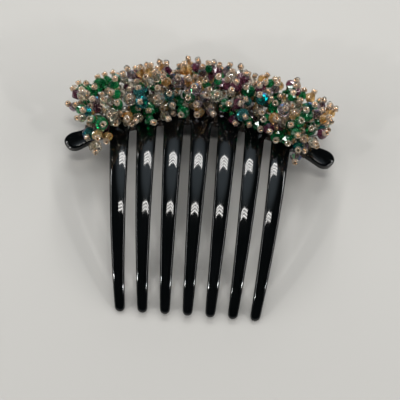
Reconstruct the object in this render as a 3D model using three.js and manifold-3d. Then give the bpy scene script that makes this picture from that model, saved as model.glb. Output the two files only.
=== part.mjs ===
// Decorative hair comb: a seven-tooth French twist comb with a hedgehog of bead sprays wired along its band.
//
// The comb lies on a table with its convex front up: X across the comb, Y from the tooth tips to the spine,
// Z up, in millimetres. The tooth tips and the back of the band touch the table at Z = 0.

import * as THREE from 'three';
import { mergeVertices } from 'three/addons/utils/BufferGeometryUtils.js';
import Module from 'manifold-3d';

const wasm = await Module();
wasm.setup();

const { cos, sin, sqrt, abs, max, min, sign, PI } = Math;
const rad = THREE.MathUtils.degToRad;

// ---- Comb body ----
const SIDE_RADIUS = 80; // curve from tooth tip to spine, seen from the side
const HEAD_RADIUS = 240; // shallow curve across the comb, which follows the head
const TIP_SLOPE = rad(35.03); // how steeply the front face rises at the tooth tips
const TIP_Y = -53.2; // tooth tips, measured from the origin
const TIP_Z = 3.1; // front face of the middle tip, above the table
const TOOTH_COUNT = 7;
const TOOTH_LENGTH = 82.3; // middle tooth, from its tip to the tops of the gaps beside it
const ROOT_PITCH = 11.1;
const TIP_PITCH = 8.65;
const ROOT_WIDTH = 8.4;
const TIP_WIDTH = 3.8;
const ROOT_THICKNESS = 3.2;
const TIP_THICKNESS = 2.3;
const ARCH_RADIUS = 80.6; // the arc through the tops of the gaps
const GAP_SQUARENESS = 2.6; // of the rounded gap tops: 2 is a half circle, more is squarer
const BAND_HEIGHT = 15; // at the middle
const TAB_HEIGHT = 7; // at the rounded end tabs
const TAB_SWELL = 1.6; // the tabs flare by this much past the end wraps
const SWELL_START = rad(32.2);
const TAB_ANGLE = rad(36.3); // from the middle to the centre of a tab's round end, along the arch
const TAPER_ANGLE = rad(33); // where the band has narrowed to the tab
const BAND_THICKNESS = 3.4;
const BEVEL = 0.8; // chamfer along the edges of the teeth and the band
const BAND_PROUD = 0.1; // the band's front stands this far in front of the teeth
const TOOTH_OVERLAP = 2.5; // how far a tooth runs up into the band
const NECK = 2; // length below a gap top over which a tooth flares into the band

// ---- Wires ----
const WIRE_RADIUS = 0.4;
const WIRE_GAP = 0.3; // clearance between touching pieces
const WIRE_LINES = { lower: 0.66, upper: 0.85 }; // base wires, as shares of the band's height
const WIRE_END = rad(32.2);
const WRAP_WIDTH = 1.4; // one binding wrap is a few turns side by side
const WRAP_THICKNESS = 0.45;
const END_WRAP_ANGLE = rad(31.4);
const WRAP_TOP = 2.4; // height over the band that the wraps and wires take up

// ---- Bead sprays ----
const SPRAY_LINE = 0.76; // the line that the sprays fan out from, as a share of the band's height
const SPRAY_LIFT = 2.3; // of that line above the band's front
const SECTORS = ['lower', 'front', 'upper', 'top']; // the four rows of sprays, from the teeth to the spine
const FAN_LOW = rad(-82); // fan angle about the band, from its normal, towards the teeth
const FAN_HIGH = rad(64);
const FAN_SLACK = rad(4); // how far beads may be pushed past the fan's two edges
const STATIONS = 12;
const SPRAY_SPAN = rad(33.4); // half of the arch that the bead tips cover
const KNOT_SPAN = rad(30.6); // half of the arch that the knots cover
const KNOT_RADIUS = 0.85;
const STEM_RADIUS = 0.32;
const SEED_RADIUS = 1.35;
const SEED_HALF = 0.95;
const OUTER = { rows: 6, columns: 23, reach: 14, spread: 1.3, sides: 5 };
const INNER = { rows: 6, columns: 15, reach: 9.4, spread: 1.2, sides: 4 };
const CRYSTALS = [
  { name: 'bicone', share: 0.55, radius: 2, half: 1.9 },
  { name: 'rondelle', share: 0.25, radius: 2.5, half: 1.8 },
  { name: 'small', share: 0.2, radius: 1.6, half: 1.5 },
];
const COLOURS = [
  { name: 'emerald', share: 0.3, colour: 0x0b7a4b },
  { name: 'champagne', share: 0.22, colour: 0xc9a56c },
  { name: 'clear', share: 0.16, colour: 0xd9dcd8 },
  { name: 'amethyst', share: 0.13, colour: 0x6d3f66 },
  { name: 'teal', share: 0.09, colour: 0x3f8f8d },
  { name: 'smoke', share: 0.1, colour: 0x8b8790 },
];
const SEED_OF_LAYOUT = 31337;
const SETTLING_STEPS = 260;
const NEIGHBOURS = 16; // seed beads further apart than this can't touch each other's stems
const PUSH = 0.35; // share of an overlap that one step undoes
const LIFT = 0.5; // the same, for beads that reach the table
const LEAST_LEVER = 0.4; // a push near the knot counts as if it were this share of the stem up
const GIVE = 0.3; // how readily a stem grows or shrinks, against 1 for turning
const REACH_SLACK = 2; // how far a stem may grow or shrink past its layer's reach
const FAN_JITTER = 0.5; // spread of the first places, as shares of the row and column pitches
const ARCH_JITTER = 0.4;
const WIRE_CLEARANCE = 0.1; // around a bare wire
const SMALL = 1e-3; // step for slopes
const BARE_BALLS = [0.97, 0.8, 0.63, 0.47, 0.33, 0.2, 0.1]; // where the bare wire is tested, from its crystal down
const NEAR_KNOT = 0.16; // the share of their length over which stems of one knot may run together
const BALL_GAP = 0.2; // kept between neighbouring beads
const TABLE_GAP = 0.6; // kept between the beads and the table

const material = (color, roughness, metalness) =>
  new THREE.MeshStandardMaterial({ color, roughness, metalness });
const PLASTIC = material(0x0c0d10, 0.18, 0);
const WIRE = material(0x57504a, 0.35, 0.8);
const GLASS = Object.fromEntries(COLOURS.map((c) => [c.name, material(c.colour, 0.12, 0)]));

// A repeatable draw of numbers between 0 and 1.
function makeDraw(seed) {
  let state = seed;
  return () => {
    state = (state * 16807) % 2147483647;
    return state / 2147483647;
  };
}

// ---- The comb's curved surface ----

// A point x across the comb, s along it from the tooth tips, and h in front of its curved front face.
function onComb(x, s, h) {
  const slope = TIP_SLOPE - s / SIDE_RADIUS;
  const y = TIP_Y + SIDE_RADIUS * (sin(TIP_SLOPE) - sin(slope));
  const z = TIP_Z + SIDE_RADIUS * (cos(slope) - cos(TIP_SLOPE)) - (x * x) / (2 * HEAD_RADIUS);
  return new THREE.Vector3(x, y, z).addScaledVector(normalAt(x, s), h);
}

function normalAt(x, s) {
  const slope = TIP_SLOPE - s / SIDE_RADIUS;
  return new THREE.Vector3((x / HEAD_RADIUS) * cos(slope), -sin(slope), cos(slope)).normalize();
}

// The same, in the arch's own terms: an angle along the arch and a height above the arc of the gap tops.
function onArch(angle, height, h) {
  const radius = ARCH_RADIUS + height;
  return onComb(radius * sin(angle), TOOTH_LENGTH - ARCH_RADIUS + radius * cos(angle), h);
}

// Height of the band where it carries wires and beads.
function bandHeight(angle) {
  const narrowed = min(1, abs(angle) / TAPER_ANGLE);
  return TAB_HEIGHT + (BAND_HEIGHT - TAB_HEIGHT) * (1 - narrowed * narrowed);
}

// Height of the moulding itself, which flares again into a tab past the end wraps.
function mouldingHeight(angle) {
  return bandHeight(angle) + TAB_SWELL * THREE.MathUtils.smoothstep(abs(angle), SWELL_START, TAB_ANGLE);
}

// ---- Solids ----

function solidOf(geometry) {
  const bare = geometry.clone();
  bare.deleteAttribute('normal');
  bare.deleteAttribute('uv');
  const merged = mergeVertices(bare, 1e-5);
  const triangles = [];
  for (let i = 0; i < merged.index.count; i += 3) {
    const corners = [0, 1, 2].map((k) => merged.index.getX(i + k));
    if (new Set(corners).size === 3) triangles.push(...corners);
  }
  const vertProperties = Float32Array.from(merged.attributes.position.array);
  const mesh = new wasm.Mesh({ numProp: 3, vertProperties, triVerts: Uint32Array.from(triangles) });
  return new wasm.Manifold(mesh);
}

function geometryOf(solid) {
  const { vertProperties, triVerts } = solid.getMesh();
  const geometry = new THREE.BufferGeometry();
  geometry.setAttribute('position', new THREE.BufferAttribute(vertProperties, 3));
  geometry.setIndex(new THREE.BufferAttribute(triVerts, 1));
  geometry.computeVertexNormals();
  return geometry;
}

// A bar of bevelled section. place(t, across, up) gives the point at t along the bar, 0 to 1, where across and
// up are shares of the half width and half thickness; bevel(t) gives the bevel as shares of the same two.
function bevelledBar(steps, place, bevel) {
  const geometry = new THREE.CylinderGeometry(1, 1, 1, 8, steps, false, PI / 8);
  const position = geometry.attributes.position;
  for (let i = 0; i < position.count; i++) {
    const [x, y, z] = [position.getX(i), position.getY(i), position.getZ(i)];
    const t = y + 0.5;
    let [across, up] = [0, 0];
    if (x * x + z * z > 0.1) {
      const cut = bevel(t);
      const onSide = abs(x) > abs(z);
      across = sign(x) * (onSide ? 1 : 1 - cut.across);
      up = sign(z) * (onSide ? 1 - cut.up : 1);
    }
    position.setXYZ(i, ...place(t, across, up).toArray());
  }
  return geometry;
}

// A round bar or wire of `sides` sides through place(t, x, y), with x and y on the unit circle.
function roundBar(sides, steps, place) {
  const geometry = new THREE.CylinderGeometry(1, 1, 1, sides, steps, false);
  const position = geometry.attributes.position;
  for (let i = 0; i < position.count; i++) {
    const point = place(position.getY(i) + 0.5, position.getX(i), position.getZ(i));
    position.setXYZ(i, ...point.toArray());
  }
  return geometry;
}

// ---- Comb body ----

const toothPitch = (s) => TIP_PITCH + ((ROOT_PITCH - TIP_PITCH) * s) / TOOTH_LENGTH;
const toothOrder = (index) => index - (TOOTH_COUNT - 1) / 2;
const gapTop = (x) => TOOTH_LENGTH - ARCH_RADIUS + sqrt(ARCH_RADIUS ** 2 - x * x);

// Half of a tooth's width on one side. It rounds off at the tip and flares into a round gap top at the root.
function toothHalfWidth(index, side, s) {
  const straight = (TIP_WIDTH + ((ROOT_WIDTH - TIP_WIDTH) * s) / TOOTH_LENGTH) / 2;
  const tip = TIP_WIDTH / 2;
  if (s < tip) return straight * sqrt(max(0.02, 1 - ((tip - s) / tip) ** 2));
  const flare = (ROOT_PITCH - ROOT_WIDTH) / 2;
  const rootX = toothOrder(index) * ROOT_PITCH + side * (ROOT_PITCH / 2);
  const start = gapTop(rootX) - flare;
  const rise = min(1, max(0, (s - start) / flare));
  return straight + flare * (1 - (1 - rise ** GAP_SQUARENESS) ** (1 / GAP_SQUARENESS));
}

function toothGeometry(index) {
  const order = toothOrder(index);
  const gaps = [-1, 1].map((side) => gapTop((order + side / 2) * ROOT_PITCH));
  const end = max(...gaps) + TOOTH_OVERLAP;
  const lowGap = min(...gaps);
  const stations = [0, 0.25, 0.8, TIP_WIDTH / 2];
  const straightSteps = 8;
  const straight = lowGap - 2 * NECK;
  for (let k = 1; k < straightSteps; k++) stations.push(NECK + (straight * k) / straightSteps);
  const rootSteps = 6;
  const root = lowGap - NECK;
  for (let k = 0; k <= rootSteps; k++) stations.push(root + ((end - root) * k) / rootSteps);
  const steps = stations.length - 1;
  const at = (t) => stations[Math.round(t * steps)];
  const thickness = (s) => {
    const full = TIP_THICKNESS + ((ROOT_THICKNESS - TIP_THICKNESS) * s) / TOOTH_LENGTH;
    return full * min(1, 0.55 + 0.225 * s);
  };
  const place = (t, across, up) => {
    const s = at(t);
    const width = toothHalfWidth(index, sign(across) || 1, s);
    const centreH = -BAND_PROUD - ROOT_THICKNESS / 2;
    return onComb(order * toothPitch(s) + across * width, s, centreH + (up * thickness(s)) / 2);
  };
  const bevel = (t) => {
    const s = at(t);
    const depth = BEVEL * min(1, 0.4 + 0.3 * s);
    return {
      across: min(0.6, depth / toothHalfWidth(index, 1, s)),
      up: min(0.6, (2 * depth) / thickness(s)),
    };
  };
  return bevelledBar(steps, place, bevel);
}

function bandGeometry() {
  const capRadius = (TAB_HEIGHT + TAB_SWELL) / 2;
  const capAngle = capRadius / (ARCH_RADIUS + capRadius);
  const capSteps = 4;
  const angles = [];
  for (let k = 0; k < capSteps; k++) angles.push(-TAB_ANGLE - capAngle * cos((k * PI) / 2 / capSteps));
  const middleSteps = 30;
  for (let k = 0; k <= middleSteps; k++) angles.push(-TAB_ANGLE + (2 * TAB_ANGLE * k) / middleSteps);
  for (let k = capSteps - 1; k >= 0; k--) angles.push(TAB_ANGLE + capAngle * cos((k * PI) / 2 / capSteps));
  const steps = angles.length - 1;
  const at = (t) => -angles[Math.round(t * steps)];
  const roundEnd = (angle) => {
    const past = max(0, abs(angle) - TAB_ANGLE) / capAngle;
    return sqrt(max(0.03, 1 - past * past));
  };
  const place = (t, across, up) => {
    const angle = at(t);
    const height = mouldingHeight(angle);
    const share = 0.5 + 0.5 * across * roundEnd(angle);
    const thickness = BAND_THICKNESS * (0.6 + 0.4 * roundEnd(angle));
    return onArch(angle, height * share, -BAND_THICKNESS / 2 + (up * thickness) / 2);
  };
  const bevel = (t) => {
    const half = (mouldingHeight(at(t)) / 2) * roundEnd(at(t));
    return { across: min(0.6, BEVEL / half), up: (2 * BEVEL) / BAND_THICKNESS };
  };
  return bevelledBar(steps, place, bevel);
}

// The whole moulding, with the small flats that it stands on.
function combSolid() {
  const teeth = Array.from({ length: TOOTH_COUNT }, (_, i) => solidOf(toothGeometry(i)));
  const moulding = teeth.reduce((body, tooth) => body.add(tooth), solidOf(bandGeometry()));
  const table = new THREE.BoxGeometry(200, 200, 20).translate(0, 0, -10);
  return moulding.subtract(solidOf(table));
}

// ---- Wires ----

function baseWire(share) {
  const steps = 40;
  return roundBar(6, steps, (t, x, y) => {
    const angle = WIRE_END * (1 - 2 * t);
    const height = bandHeight(angle) * share + x * WIRE_RADIUS;
    return onArch(angle, height, WIRE_GAP + WIRE_RADIUS + y * WIRE_RADIUS);
  });
}

const gapAngles = Array.from({ length: TOOTH_COUNT - 1 }, (_, i) =>
  Math.asin((toothOrder(i + 0.5) * ROOT_PITCH) / ARCH_RADIUS));
const wrapAngles = [-END_WRAP_ANGLE, ...gapAngles, END_WRAP_ANGLE];

// A closed loop of flat section around the band, over the base wires.
function bindingWrap(angle) {
  const height = bandHeight(angle);
  const loop = (spread) => {
    const low = -2 * WIRE_GAP - spread;
    const high = height + WIRE_GAP + spread;
    const front = 2 * (WIRE_GAP + WIRE_RADIUS) + WIRE_GAP / 2 + spread;
    const back = -BAND_THICKNESS - WIRE_GAP - spread;
    const corner = 0.7;
    return [
      [low + corner, back], [high - corner, back], [high, back + corner],
      [high, front - 2 * corner], [high - 2 * corner, front], [low + 4 * corner, front],
      [low, front - 3 * corner], [low, back + corner],
    ].map(([across, h]) => new THREE.Vector2(across, h));
  };
  const shape = new THREE.Shape(loop(WRAP_THICKNESS));
  shape.holes.push(new THREE.Path(loop(0)));
  const geometry = new THREE.ExtrudeGeometry(shape, { depth: WRAP_WIDTH, bevelEnabled: false });
  const position = geometry.attributes.position;
  const perAngle = 1 / (ARCH_RADIUS + height / 2);
  for (let i = 0; i < position.count; i++) {
    const along = (position.getZ(i) - WRAP_WIDTH / 2) * perAngle;
    const point = onArch(angle + along, position.getX(i), position.getY(i));
    position.setXYZ(i, ...point.toArray());
  }
  return geometry;
}

// ---- Bead sprays ----

// A point beside the line that the sprays fan out from: reach away from it, at a fan angle about it.
function besideLine(angle, fan, reach) {
  const height = bandHeight(angle) * SPRAY_LINE;
  return onArch(angle, height + reach * sin(fan), SPRAY_LIFT + reach * cos(fan));
}

function pick(table, value) {
  let passed = 0;
  return table.find((entry) => (passed += entry.share) > value) ?? table[table.length - 1];
}

function knotAngle(sector, station) {
  const pitch = (2 * KNOT_SPAN) / STATIONS;
  const offset = [0.25, 0.75, 0.25, 0.75][sector];
  const angle = -KNOT_SPAN + (station + offset) * pitch;
  const room = (WRAP_WIDTH / 2 + KNOT_RADIUS + WIRE_GAP) / (ARCH_RADIUS + bandHeight(angle) * SPRAY_LINE);
  const wrap = wrapAngles.find((at) => abs(at - angle) < room);
  return wrap === undefined ? angle : wrap + (sign(angle - wrap) || 1) * room;
}

// Every stem of beads: the knot that it grows from, where it points, how long it is and what it carries.
function layOutStems() {
  const draw = makeDraw(SEED_OF_LAYOUT);
  const stems = [];
  for (const layer of [OUTER, INNER]) {
    const fanPitch = (FAN_HIGH - FAN_LOW) / layer.rows;
    const anglePitch = (2 * SPRAY_SPAN) / layer.columns;
    for (let row = 0; row < layer.rows; row++) {
      for (let column = 0; column < layer.columns; column++) {
        const stagger = row % 2 ? 0.75 : 0.25;
        const fan = FAN_LOW + (row + 0.5 + FAN_JITTER * (draw() - 0.5)) * fanPitch;
        const angle = -SPRAY_SPAN + (column + stagger + ARCH_JITTER * (draw() - 0.5)) * anglePitch;
        const reach = layer.reach + layer.spread * (2 * draw() - 1);
        const crystal = pick(CRYSTALS, draw());
        const colour = pick(COLOURS, draw());
        stems.push({ fan, angle, reach, crystal, colour, sides: layer.sides });
      }
    }
  }
  for (const stem of stems) {
    const sector = Math.floor(((stem.fan - FAN_LOW) / (FAN_HIGH - FAN_LOW)) * SECTORS.length);
    stem.sector = min(SECTORS.length - 1, max(0, sector));
    const station = Math.floor(((stem.angle + SPRAY_SPAN) / (2 * SPRAY_SPAN)) * STATIONS);
    stem.station = min(STATIONS - 1, max(0, station));
    const line = stem.sector < 2 ? WIRE_LINES.lower : WIRE_LINES.upper;
    const angle = knotAngle(stem.sector, stem.station);
    stem.knot = onArch(angle, bandHeight(angle) * line, SPRAY_LIFT);
  }
  settle(stems);
  return stems;
}

// The balls that stand for one stem while it settles: a few along the bare wire, the crystal and the seed bead.
function ballsOf(stem) {
  const tip = besideLine(stem.angle, stem.fan, stem.reach);
  const length = tip.distanceTo(stem.knot);
  const crystalAt = length - SEED_HALF - stem.crystal.half;
  const bareLength = crystalAt - stem.crystal.half;
  const balls = [[length, SEED_RADIUS], [crystalAt, stem.crystal.radius], [0, KNOT_RADIUS]];
  for (const share of BARE_BALLS) balls.push([bareLength * share, STEM_RADIUS + WIRE_CLEARANCE]);
  return balls.map(([at, radius]) => ({
    centre: stem.knot.clone().lerp(tip, at / length), radius, share: at / length,
  }));
}

const sameSpray = (a, b) => a.sector === b.sector && a.station === b.station;

// Neighbouring stems push each other apart until no two beads touch and none reaches the table.
function settle(stems) {
  const push = new THREE.Vector3();
  for (let step = 0; step < SETTLING_STEPS; step++) {
    const balls = stems.map(ballsOf);
    const moves = stems.map(() => new THREE.Vector3());
    for (let i = 0; i < stems.length; i++) {
      for (let j = i + 1; j < stems.length; j++) {
        if (balls[i][0].centre.distanceTo(balls[j][0].centre) > NEIGHBOURS) continue;
        const oneKnot = sameSpray(stems[i], stems[j]);
        for (const a of balls[i]) {
          for (const b of balls[j]) {
            if (oneKnot && min(a.share, b.share) < NEAR_KNOT) continue;
            push.subVectors(a.centre, b.centre);
            const distance = push.length();
            const overlap = a.radius + b.radius + BALL_GAP - distance;
            if (overlap <= 0) continue;
            push.multiplyScalar((PUSH * overlap) / max(distance, 1e-6));
            moves[i].addScaledVector(push, 1 / max(a.share, LEAST_LEVER));
            moves[j].addScaledVector(push, -1 / max(b.share, LEAST_LEVER));
          }
        }
      }
      for (const ball of balls[i]) {
        const sunk = ball.radius + TABLE_GAP - ball.centre.z;
        if (sunk > 0) moves[i].z += LIFT * sunk;
      }
    }
    stems.forEach((stem, i) => nudge(stem, moves[i]));
  }
}

// How far a stem may lean over before its crystal would touch the wires on the band.
function leanLimit(stem) {
  const crystalReach = stem.reach - SEED_HALF - stem.crystal.half;
  return Math.acos(min(1, (WRAP_TOP + stem.crystal.radius - SPRAY_LIFT) / crystalReach));
}

// Turns a stem by the move of its tip, and lets it grow or shrink a little.
function nudge(stem, move) {
  const tip = besideLine(stem.angle, stem.fan, stem.reach);
  const alongFan = besideLine(stem.angle, stem.fan + SMALL, stem.reach).sub(tip).divideScalar(SMALL);
  const alongArch = besideLine(stem.angle + SMALL, stem.fan, stem.reach).sub(tip).divideScalar(SMALL);
  const outward = besideLine(stem.angle, stem.fan, stem.reach + SMALL).sub(tip).divideScalar(SMALL);
  stem.fan += move.dot(alongFan) / alongFan.lengthSq();
  stem.angle += move.dot(alongArch) / alongArch.lengthSq();
  stem.reach += (GIVE * move.dot(outward)) / outward.lengthSq();
  const lean = leanLimit(stem);
  stem.fan = min(FAN_HIGH + FAN_SLACK, lean, max(FAN_LOW - FAN_SLACK, -lean, stem.fan));
  stem.angle = min(SPRAY_SPAN, max(-SPRAY_SPAN, stem.angle));
  stem.reach = min(OUTER.reach + REACH_SLACK, max(INNER.reach - REACH_SLACK, stem.reach));
}

// One stem with its crystal and seed bead, turned about its own axis.
function stemGeometry(stem) {
  const tip = besideLine(stem.angle, stem.fan, stem.reach);
  const length = tip.distanceTo(stem.knot);
  const { radius, half } = stem.crystal;
  const crystalAt = length - SEED_HALF - half;
  const profile = [
    [0, 0], [STEM_RADIUS, 0], [STEM_RADIUS, crystalAt - half], [radius, crystalAt],
    [0.6, crystalAt + half], [SEED_RADIUS, length], [0, length + SEED_HALF],
  ].map(([x, y]) => new THREE.Vector2(x, y));
  const geometry = new THREE.LatheGeometry(profile, stem.sides);
  const direction = tip.sub(stem.knot).normalize();
  const turn = new THREE.Quaternion().setFromUnitVectors(new THREE.Vector3(0, 1, 0), direction);
  return geometry.applyQuaternion(turn).translate(...stem.knot.toArray());
}

function spraySolid(stems) {
  const knot = new THREE.OctahedronGeometry(KNOT_RADIUS).translate(...stems[0].knot.toArray());
  return stems.reduce((spray, stem) => spray.add(solidOf(stemGeometry(stem))), solidOf(knot));
}

// ---- Assembly ----

const comb = new THREE.Group();

function addPart(name, geometry, finish) {
  const mesh = new THREE.Mesh(geometry, finish);
  mesh.name = name;
  comb.add(mesh);
}

addPart('comb_body', geometryOf(combSolid()), PLASTIC);
addPart('base_wire_lower', baseWire(WIRE_LINES.lower), WIRE);
addPart('base_wire_upper', baseWire(WIRE_LINES.upper), WIRE);
wrapAngles.forEach((angle, i) => addPart(`binding_wrap_${i + 1}`, bindingWrap(angle), WIRE));

const stems = layOutStems();
SECTORS.forEach((sector, row) => {
  for (let station = 0; station < STATIONS; station++) {
    const own = stems.filter((stem) => stem.sector === row && stem.station === station);
    const name = `${sector}_spray_${String(station + 1).padStart(2, '0')}`;
    addPart(name, geometryOf(spraySolid(own)), GLASS[own[0].colour.name]);
  }
});

export default comb;
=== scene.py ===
"""The looks of a decorative hair comb: glossy black plastic under a hedgehog of wired glass beads.

Lengths are in millimetres, as in the CAD model, and MM turns them into Blender's metres. The bead sprays
repeat the CAD layout's formulas, so every stem, its crystal and its seed bead sit where the CAD has them.
Small spare crystals, which the CAD has none of, fill the lower part of the stems.
"""

import math

import bpy
import numpy as np
from mathutils import Matrix, Vector
from mathutils.geometry import delaunay_2d_cdt


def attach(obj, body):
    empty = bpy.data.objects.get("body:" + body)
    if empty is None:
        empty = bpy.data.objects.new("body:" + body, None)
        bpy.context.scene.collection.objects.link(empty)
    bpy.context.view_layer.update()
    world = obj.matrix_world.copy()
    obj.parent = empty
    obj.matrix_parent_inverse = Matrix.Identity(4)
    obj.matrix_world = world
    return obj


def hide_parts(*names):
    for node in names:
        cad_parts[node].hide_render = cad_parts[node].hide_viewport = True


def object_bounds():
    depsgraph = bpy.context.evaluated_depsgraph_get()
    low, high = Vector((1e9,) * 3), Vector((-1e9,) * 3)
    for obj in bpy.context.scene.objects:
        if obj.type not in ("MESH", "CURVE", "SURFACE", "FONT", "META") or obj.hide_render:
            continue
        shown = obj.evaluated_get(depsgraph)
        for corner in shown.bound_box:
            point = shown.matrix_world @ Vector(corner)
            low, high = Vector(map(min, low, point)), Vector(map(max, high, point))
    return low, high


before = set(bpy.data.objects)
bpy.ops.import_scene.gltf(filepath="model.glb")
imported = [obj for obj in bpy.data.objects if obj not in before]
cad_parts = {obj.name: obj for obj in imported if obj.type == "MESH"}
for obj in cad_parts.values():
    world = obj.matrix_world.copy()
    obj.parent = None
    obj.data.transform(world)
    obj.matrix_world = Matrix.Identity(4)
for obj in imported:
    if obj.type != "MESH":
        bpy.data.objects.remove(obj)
cad_low, cad_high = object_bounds()

MM = 0.001
SIDES = (-1, 1)


def rad(degrees):
    return math.radians(degrees)


# ---- Comb body, as in the CAD ----
SIDE_RADIUS = 80
HEAD_RADIUS = 240
TIP_SLOPE = rad(35.03)
TIP_Y = -53.2
TIP_Z = 3.1
TOOTH_COUNT = 7
TOOTH_LENGTH = 82.3
ROOT_PITCH = 11.1
TIP_PITCH = 8.65
ROOT_WIDTH = 8.4
TIP_WIDTH = 3.8
ROOT_THICKNESS = 3.2
TIP_THICKNESS = 2.3
ARCH_RADIUS = 80.6
GAP_SQUARENESS = 2.6
BAND_HEIGHT = 15
TAB_HEIGHT = 7
TAB_SWELL = 1.6
SWELL_START = rad(32.2)
TAB_ANGLE = rad(36.3)
TAPER_ANGLE = rad(33)
BAND_THICKNESS = 3.4
BEVEL = 0.8

# ---- Wires, as in the CAD ----
WIRE_RADIUS = 0.4
WIRE_GAP = 0.3
WIRE_LINES = {"lower": 0.66, "upper": 0.85}
WIRE_END = rad(32.2)
WRAP_WIDTH = 1.4
END_WRAP_ANGLE = rad(31.4)
WRAP_TOP = 2.4

# ---- Bead sprays, as in the CAD ----
SPRAY_LINE = 0.76
SPRAY_LIFT = 2.3
SECTORS = ["lower", "front", "upper", "top"]
FAN_LOW = rad(-82)
FAN_HIGH = rad(64)
FAN_SLACK = rad(4)
STATIONS = 12
SPRAY_SPAN = rad(33.4)
KNOT_SPAN = rad(30.6)
KNOT_RADIUS = 0.85
STEM_RADIUS = 0.32
SEED_RADIUS = 1.35
SEED_HALF = 0.95
OUTER = {"rows": 6, "columns": 23, "reach": 14, "spread": 1.3}
INNER = {"rows": 6, "columns": 15, "reach": 9.4, "spread": 1.2}
CRYSTALS = [
    {"name": "bicone", "share": 0.55, "radius": 2, "half": 1.9},
    {"name": "rondelle", "share": 0.25, "radius": 2.5, "half": 1.8},
    {"name": "small", "share": 0.2, "radius": 1.6, "half": 1.5},
]
COLOURS = [
    {"name": "emerald", "share": 0.3},
    {"name": "champagne", "share": 0.22},
    {"name": "clear", "share": 0.16},
    {"name": "amethyst", "share": 0.13},
    {"name": "teal", "share": 0.09},
    {"name": "smoke", "share": 0.1},
]
RONDELLE, CLEAR = 1, 2  # places in the two lists above
CLEAR_FAN = rad(-35)  # below it, some rondelles turn clear
STAGGER = (0.25, 0.75)
SEED_OF_LAYOUT = 31337
SETTLING_STEPS = 260
NEIGHBOURS = 16
PUSH = 0.35
LIFT = 0.5
LEAST_LEVER = 0.4
GIVE = 0.3
REACH_SLACK = 2
FAN_JITTER = 0.5
ARCH_JITTER = 0.4
WIRE_CLEARANCE = 0.1
SMALL = 1e-3
BARE_BALLS = [0.97, 0.8, 0.63, 0.47, 0.33, 0.2, 0.1]
NEAR_KNOT = 0.16
BALL_GAP = 0.2
TABLE_GAP = 0.6

# ---- Looks only ----
CROWN_RADIUS = 11  # across a tooth's front and back
BAND_CROWN_RADIUS = 45
CROWN_FADE = 9  # a tooth's own crown takes over from the band's this far below its root
TIP_THINNING = 0.55  # thickness at the very tip, as a share
TIP_RUN = 2
ROOT_LEAD = 4  # the tooth starts to thicken this far below its root
ROOT_RUN = 6
FLANK_POINTS = 40
ARCH_POINTS = 20
CAP_POINTS = 14
SPINE_POINTS = 120
ROW_SHARES = (-0.6, -0.3, 0, 0.3, 0.6)  # mesh points across a tooth
OUTLINE_STEP = 0.6
FACE_STEP = 1.6  # between the mesh points on the body's faces
BEVEL_STEPS = 4
STRAND_RADIUS = 0.14  # of the craft wire: each stem is two strands twisted together
TWIST_PITCH = 2.4
THREAD_RADIUS = 0.14  # of the binding wire
THREAD_GAP = 0.06
THREAD_TURNS = 5
THREAD_PITCH = 2.05  # turn to turn, in wire radii
WRAP_SQUARENESS = 0.45
COIL_TURNS = 4  # of a spray's wire round its base wire
COIL_PITCH = 2.1
COLLAR_TURNS = 3  # round a spray's knot
COLLAR_RADIUS = 0.42
COLLAR_LENGTH = 0.85
BORE_RADIUS = 0.4  # of a crystal
HOLE_RADIUS = 0.62  # of a seed bead
RIM_ROUNDING = 0.7
END_ROUNDING = 0.6
LINING_IN = 0.1
LINING_OUT = 0.04
LINING_SHARE = 0.8  # of the seed bead's length
LEAN = 0.12  # how far a crystal tilts on its stem, as a tangent
SEED_LEAN = 0.22
SIDEWAYS_LEAN = 2.5
SIDEWAYS = 0.35  # share of the seed beads that lie across their stem
SPARE_LEAST = 1.15  # radius of the spare crystals that fill the sprays
SPARE_MOST = 2
SPARE_LOW = 2.2  # how near a spare crystal may come to its knot
SPARE_WIRE_OVERLAP = 0.7
SPARE_SPACING = 0.94  # half length of a spare crystal, as a share of its radius
SPARE_STEP = 0.3
SPARE_COLOURS = [
    {"name": "emerald", "share": 0.4},
    {"name": "champagne", "share": 0.36},
    {"name": "clear", "share": 0.08},
    {"name": "amethyst", "share": 0.12},
    {"name": "teal", "share": 0.02},
    {"name": "smoke", "share": 0.02},
]
CRYSTAL_SCALE = (1.03, 1.12)
SEED_SCALE = 0.93
SEED_OF_LOOKS = 5

# ---- View: the camera looks down at the comb from its teeth's side ----
VIEW_ELEVATION = rad(72)
VIEW_ROLL = rad(4.13)
VIEW_DISTANCE = 280
VIEW_TARGET = (1.7, -7.68, -5.67)  # from the middle of the comb's box
VIEW_LENS = 64.2

# ---- Lights, in metres and watts ----
RACK_DISTANCE = 0.9
STRIP_PITCH = 0.036
STRIP_LENGTH = 0.26
STRIP_WIDTH = 0.013
STRIP_POWER = 0.36
PANEL_POWER = 2.4
BACK_POWER = 5
EDGE_POWER = 2.6
LAMP_POWER = 2.0
LAMP_SIZE = 0.045
SKY_EDGE = 0.84  # cosine of how far the sky's glow spreads
SKY_DIM = 0.03
SKY_BRIGHT = 0.8
HAZE = 0.22  # the sky's strength at the horizon
HAZE_HEIGHT = 0.22
STRIP_TINT = (1, 0.98, 0.95)
SKY_TINT = (0.76, 0.9, 1, 1)
PANEL_PLACE, PANEL_SIZE = (1.1, -0.1, 0.6), (1.0, 0.45)
EDGE_PLACE, EDGE_SIZE = (0.8, 0.1, 0.5), (1.3, 0.03)
LAMP_PLACE = (0.72, -0.5, 0.4)
BACK_PLACE, BACK_SIZE = (0, 1.15, 0.32), (0.8, 0.4)
NEAR_HIGHLIGHT = 42.5  # where along the teeth the racks show, in millimetres from the tips
FAR_HIGHLIGHT = 62.6
SKY_HIGHLIGHT = 60
STRIP_SLOPE = rad(8)
FLOOR_COLOUR = (186, 184, 180)
FLOOR_HALF = 3.0
FLOOR_GAP = 0.0002


# ---- The comb's curved surface ----


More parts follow.
